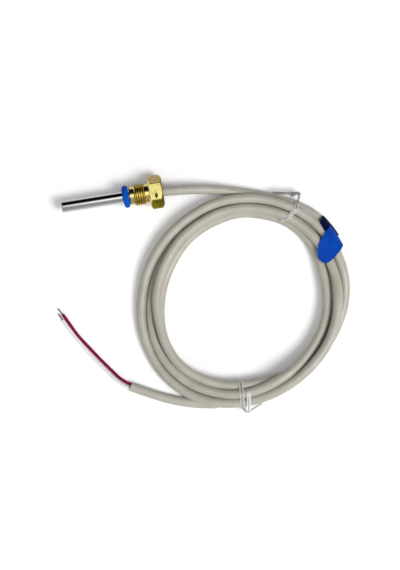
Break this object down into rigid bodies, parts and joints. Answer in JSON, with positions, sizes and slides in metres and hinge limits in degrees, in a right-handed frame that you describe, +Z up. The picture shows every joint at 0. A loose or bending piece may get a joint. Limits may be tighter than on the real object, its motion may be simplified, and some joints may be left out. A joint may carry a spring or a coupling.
{
  "type": "resistance temperature probe",
  "caption": "Screw-in resistance temperature probe: steel stem, blue seal ring, brass hexagon screw that turns on the stem, and a grey cable wound into a tied coil with bare wire ends.",
  "frame": {"origin": "on the surface the probe lies on, under the middle of its length", "axes": "+X along the stem from the tip towards the cable, +Z up"},
  "size_m": [0.1318, 0.1107, 0.013],
  "materials": {
    "stainless_steel": "polished",
    "brass": "machined, lightly tarnished",
    "blue_rubber": "satin",
    "cable_jacket": "satin",
    "red_insulation": "satin",
    "white_insulation": "satin",
    "tinned_copper": "dull tin",
    "blue_vinyl": "gloss",
    "clear_plastic": "clear gloss",
    "chip_ceramic": "fired, matt",
    "filler": "cured paste",
    "potting": "cured resin",
    "sleeve_plastic": "satin",
    "shrink_tube": "satin",
    "splice_metal": "bright tin"
  },
  "bodies": {
    "probe": {"sheath": "stainless_steel", "seal_ring": "blue_rubber", "sensing_element": "chip_ceramic", "tip_filler": "filler", "core_potting": "potting", "entry_seal": "potting", "cable_coil": "cable_jacket", "cable_lead": "cable_jacket", "cable_tail": "cable_jacket", "tag_flag": "blue_vinyl", "twist_tie_upper": "clear_plastic", "twist_tie_lower": "clear_plastic", "core_red": "red_insulation", "core_white": "white_insulation", "inner_core_red": "red_insulation", "inner_core_white": "white_insulation", "element_lead_red": "splice_metal", "lead_sleeve_red": "sleeve_plastic", "splice_red": "splice_metal", "splice_shrink_red": "shrink_tube", "inner_conductor_red": "tinned_copper", "bare_end_red": "tinned_copper", "element_lead_white": "splice_metal", "lead_sleeve_white": "sleeve_plastic", "splice_white": "splice_metal", "splice_shrink_white": "shrink_tube", "inner_conductor_white": "tinned_copper", "bare_end_white": "tinned_copper"},
    "fitting": {"threaded_fitting": "brass"}
  },
  "joints": [
    {"name": "fitting_swivel", "type": "hinge", "parent": "probe", "child": "fitting", "pos_m": [0.01965, 0, 0.0065], "axis": [1, 0, 0], "continuous": true}
  ]
}
